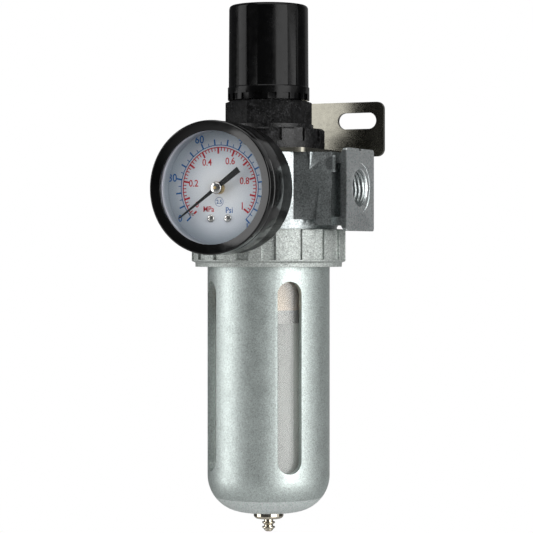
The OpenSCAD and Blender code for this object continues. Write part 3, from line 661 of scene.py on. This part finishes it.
def port_thread(name, side):
    """The right-hand internal thread of one port, as a thin sleeve whose back lies inside the casting."""
    steps_round = 96
    steps_along = THREAD_TURNS * 8
    length = THREAD_TURNS * THREAD_PITCH
    build = bmesh.new()
    inner, outer = [], []
    for i in range(steps_along + 1):
        depth = length * i / steps_along
        x = side * (THREAD_START - depth)
        inner.append([])
        outer.append([])
        for j in range(steps_round):
            turn = j / steps_round
            phase = (depth / THREAD_PITCH - side * turn) % 1
            # A sixth of the pitch is flat crest, a sixth is flat root, and straight flanks join them
            rise = min(1, max(0, 1.25 - abs(2 * phase - 1) * 1.5))
            radius = THREAD_ROOT_R + (THREAD_CREST_R - THREAD_ROOT_R) * rise
            y, z = math.cos(2 * math.pi * turn), math.sin(2 * math.pi * turn)
            inner[-1].append(build.verts.new(at(x, radius * y, radius * z)))
            outer[-1].append(build.verts.new(at(x, THREAD_SLEEVE_R * y, THREAD_SLEEVE_R * z)))
    rings = inner + outer[::-1]
    for low, high in zip(rings, rings[1:] + rings[:1]):
        for j in range(steps_round):
            k = (j + 1) % steps_round
            build.faces.new((low[j], low[k], high[k], high[j]))
    add_piece(name, finish_mesh(name, build), "root", MATERIALS["cast_body"], 40)


# ---------------------------------------------------------------- gauge

def dial_angle(pressure):
    """The angle of a pressure in MPa, counted anticlockwise from the right."""
    return math.radians(ZERO_ANGLE - SWEEP * pressure)


def make_bezel():
    """The bezel with its rolled edges: a dished front, a soft rim and a groove before the skirt."""
    skirt_back = 34.5
    groove = LENS_FRONT - 2
    outline = filleted([
        (CASE_R, skirt_back, 0), (BEZEL_R, skirt_back, 0.15),
        (BEZEL_R, groove - 0.25, 0.08), (BEZEL_R - 0.22, groove, 0.08), (BEZEL_R, groove + 0.25, 0.08),
        (BEZEL_R, BEZEL_FRONT - 0.25, 0.3), (BEZEL_R - 0.45, BEZEL_FRONT, 0.25),
        (OPENING_R, LENS_FRONT + 0.6, 0.12), (OPENING_R, LENS_FRONT, 0),
        (CASE_R - 0.3, LENS_FRONT, 0), (CASE_R, LENS_FRONT - 0.3, 0),
    ])
    mesh = lathe("bezel", outline, on_gauge)
    piece = add_piece("bezel_rolled", mesh, "root", MATERIALS["black_enamel"], 50)
    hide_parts("gauge_bezel")


def make_dial_rim():
    """Ring that stands between the dial and the lens, and hides the inside of the case."""
    inner_r = OPENING_R + 0.15
    outer_r = inner_r + 0.6
    outline = filleted([
        (inner_r, DIAL_FACE, 0), (outer_r, DIAL_FACE, 0), (outer_r, LENS_BACK, 0), (inner_r, LENS_BACK, 0.1),
    ])
    mesh = lathe("dial_rim", outline, on_gauge)
    add_piece("dial_rim", mesh, "root", MATERIALS["dial_wall"], 50)


# The back and the face of the print, as distances forward of the main axis
INK_LOW = DIAL_FACE + 0.004
INK_HIGH = DIAL_FACE + 0.03


def add_arc(build, inner_r, outer_r, start, end):
    """A thin printed band along an arc of the dial."""
    steps = max(1, round(abs(math.degrees(end - start)) / 2))
    corners = []
    for i in range(steps + 1):
        angle = start + (end - start) * i / steps
        c, s = math.cos(angle), math.sin(angle)
        corners.append([
            build.verts.new(on_gauge(r * c, r * s, z))
            for r, z in ((inner_r, INK_LOW), (outer_r, INK_LOW), (outer_r, INK_HIGH), (inner_r, INK_HIGH))
        ])
    for low, high in zip(corners, corners[1:]):
        for i in range(4):
            j = (i + 1) % 4
            build.faces.new((low[i], low[j], high[j], high[i]))
    build.faces.new(corners[0])
    build.faces.new(corners[-1][::-1])


def add_tick(build, angle, near_r, far_r, width):
    """A thin printed bar that points away from the dial's centre."""
    across = Vector((-math.sin(angle), math.cos(angle))) * width / 2
    along = Vector((math.cos(angle), math.sin(angle)))
    near, far = along * near_r, along * far_r
    outline = [near - across, far - across, far + across, near + across]
    low = [build.verts.new(on_gauge(x, y, INK_LOW)) for x, y in outline]
    high = [build.verts.new(on_gauge(x, y, INK_HIGH)) for x, y in outline]
    build.faces.new(low[::-1])
    build.faces.new(high)
    for i in range(4):
        j = (i + 1) % 4
        build.faces.new((low[i], low[j], high[j], high[i]))


def add_scale(name, ink, arc_r, arc_width, end, steps, long_every, long_reach, short_reach, long_width):
    """An arc with ticks from zero to an end pressure in MPa; a negative reach points inwards."""
    build = bmesh.new()
    add_arc(build, arc_r - arc_width / 2, arc_r + arc_width / 2, dial_angle(0), dial_angle(end))
    for i in range(steps + 1):
        is_long = i % long_every == 0
        reach = long_reach if is_long else short_reach
        width = long_width if is_long else long_width * 0.5
        add_tick(build, dial_angle(end * i / steps), arc_r, arc_r + reach, width)
    add_piece(name, finish_mesh(name, build), "root", ink)


def printed_text(text, x, y, height):
    """A thin mesh of generic dial lettering, centred on a point of the dial."""
    # Shares of the font's size, and of a letter's width
    capital_height = 0.7
    boldness = 0.012
    squeeze = 0.92
    size = height / capital_height
    curve = bpy.data.curves.new("lettering", "FONT")
    curve.body = text
    curve.size = size
    curve.extrude = (INK_HIGH - INK_LOW) / 2
    curve.offset = boldness * size
    curve.resolution_u = 4
    lettering = bpy.data.objects.new("lettering", curve)
    mesh = bpy.data.meshes.new_from_object(lettering)
    bpy.data.objects.remove(lettering)
    xs = [v.co.x for v in mesh.vertices]
    ys = [v.co.y for v in mesh.vertices]
    middle_x, middle_y = (min(xs) + max(xs)) / 2, (min(ys) + max(ys)) / 2
    for v in mesh.vertices:
        forward = (INK_LOW + INK_HIGH) / 2 + v.co.z
        v.co = on_gauge(x + (v.co.x - middle_x) * squeeze, y + v.co.y - middle_y, forward)
    return mesh


def add_lettering(name, ink, words):
    """Joins several printed words, each (text, x, y, height), into one piece."""
    build = bmesh.new()
    for text, x, y, height in words:
        mesh = printed_text(text, x, y, height)
        build.from_mesh(mesh)
        bpy.data.meshes.remove(mesh)
    bmesh.ops.remove_doubles(build, verts=build.verts, dist=0.0005 * MM)
    add_piece(name, finish_mesh(name, build), "root", ink)


def round_labels(values, unit, radius, height):
    """Numbers set around the dial, each (text, x, y, height)."""
    words = []
    for value in values:
        angle = dial_angle(value / unit)
        words.append((f"{value:g}", radius * math.cos(angle), radius * math.sin(angle), height))
    return words


# The accuracy class stands in a small ring under the hub
CLASS_X = -0.1
CLASS_Y = -4.4
CLASS_R = 1.5
CLASS_LINE = 0.13


def on_class_mark(x, y, forward):
    return on_gauge(CLASS_X + x, CLASS_Y + y, forward)


def print_dial():
    full_psi = 150 / PSI_PER_MPA
    add_scale("dial_mpa_scale", RED_INK, 13.0, 0.32, 1.0, 50, 5, -2.0, -1.1, 0.62)
    add_scale("dial_psi_scale", BLUE_INK, 13.75, 0.26, full_psi, 30, 2, 1.9, 1.0, 0.52)
    mpa = round_labels([0.2, 0.4, 0.6], 1, 9.4, 2.15)
    mpa += [("0", -8.0, -5.2, 1.9), ("0.8", 8.9, 2.2, 2.15), ("1", 8.1, -5.8, 2.3), ("MPa", -3.8, -6.7, 1.75)]
    add_lettering("dial_mpa_numbers", RED_INK, mpa)
    psi = round_labels([30, 60, 90, 120, 150], PSI_PER_MPA, 17.2, 2.5)
    psi += [("0", -14.1, -9.6, 2.2), ("Psi", 3.5, -7.1, 1.85), ("2.5", CLASS_X, CLASS_Y, 1.25)]
    add_lettering("dial_psi_numbers", BLUE_INK, psi)
    inner_r = CLASS_R - CLASS_LINE
    band = [(inner_r, INK_LOW), (CLASS_R, INK_LOW), (CLASS_R, INK_HIGH), (inner_r, INK_HIGH)]
    ring = lathe("dial_class_ring", band, on_class_mark, turns=48)
    add_piece("dial_class_ring", ring, "root", BLUE_INK)


def dome_profile(radius, low, rise, edge, steps=10):
    """Points of a low dome on a short straight edge, from the middle of its base round to its top."""
    points = [(0, low), (radius, low), (radius, low + edge)]
    for i in range(1, steps + 1):
        angle = math.pi / 2 * i / steps
        points.append((radius * math.cos(angle) if i < steps else 0, low + edge + rise * math.sin(angle)))
    return points


def make_hub():
    """The pointer's domed cap, with the end of its brass shaft showing in the middle."""
    dome = dome_profile(1.9, HUB_BASE, rise=0.62, edge=0.12)
    mesh = lathe("hub", dome, on_gauge, 64, closed=False)
    cap = add_piece("hub_cap", mesh, "pointer", MATERIALS["bright_steel"], 60)
    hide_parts("pointer_hub")
    dome = dome_profile(0.5, HUB_BASE + 0.55, rise=0.2, edge=0.1, steps=5)
    pip = lathe("hub_pip", dome, on_gauge, 32, closed=False)
    add_piece("hub_pip", pip, "pointer", MATERIALS["brass"], 60)


def pan_head(name, x, y):
    """A domed screw head with a cross recess."""
    radius = 1.3
    edge = 0.12
    rise = 0.62
    slot_half = 0.2
    slot_reach = 0.75
    slot_depth = 0.3
    rings, turns = 22, 64
    build = bmesh.new()
    centre = build.verts.new(on_gauge(x, y, DIAL_FACE + edge + rise - slot_depth))
    loops = []
    for i in range(1, rings + 1):
        r = radius * math.sin(math.pi / 2 * i / rings)
        height = edge + rise * math.cos(math.pi / 2 * i / rings)
        loop = []
        for j in range(turns):
            u, v = r * math.cos(2 * math.pi * j / turns), r * math.sin(2 * math.pi * j / turns)
            inside = r < slot_reach and min(abs(u), abs(v)) < slot_half
            drop = slot_depth if inside else 0
            loop.append(build.verts.new(on_gauge(x + u, y + v, DIAL_FACE + height - drop)))
        loops.append(loop)
    foot = []
    for j in range(turns):
        u, v = radius * math.cos(2 * math.pi * j / turns), radius * math.sin(2 * math.pi * j / turns)
        foot.append(build.verts.new(on_gauge(x + u, y + v, DIAL_FACE)))
    loops.append(foot)
    for j in range(turns):
        build.faces.new((centre, loops[0][j], loops[0][(j + 1) % turns]))
    for low, high in zip(loops, loops[1:]):
        for j in range(turns):
            k = (j + 1) % turns
            build.faces.new((low[j], low[k], high[k], high[j]))
    build.faces.new(foot)
    return add_piece(name, finish_mesh(name, build), "root", MATERIALS["bright_steel"], 40)


def make_gauge():
    make_bezel()
    make_dial_rim()
    print_dial()
    make_hub()
    screw_x = 3
    screw_y = -9.7
    left = pan_head("dial_screw_left", -screw_x, screw_y)
    pan_head("dial_screw_right", screw_x, screw_y)
    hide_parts("dial_screws")


# ---------------------------------------------------------------- springs


def make_sprung_copies():
    """Copies of the springs and the diaphragm, each with a mesh of its own, which stand in for them."""
    for joint in RECORD["behaviour"]["joints"]:
        for sprung in joint.get("deforming_nodes", []):
            node = sprung["node"]
            mesh = NODES[node].data.copy()
            slot = SLOT_OF[node]
            piece = add_piece(node + "_sprung", mesh, BODY_OF[node], MATERIALS[slot])
            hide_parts(node)
            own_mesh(piece)


# ---------------------------------------------------------------- the object

dress_cad_nodes()
make_camera()
make_stage()
port_thread("outlet_thread", 1)
port_thread("inlet_thread", -1)
make_gauge()
softened_copy("adjusting_knob", 0.3, 3)
softened_copy("panel_nut", 0.22)
softened_copy("bonnet", 0.3)
softened_copy("mounting_bracket", 0.3)
softened_copy("body_casting", 0.3)
softened_copy("lock_ring", 0.2)
softened_copy("bowl_guard", 0.25)
softened_copy("drain_body", 0.25)
softened_copy("drain_stem", 0.2, 3)
softened_copy("gauge_case", 0.3, material=MATERIALS["case_enamel"])
make_sprung_copies()
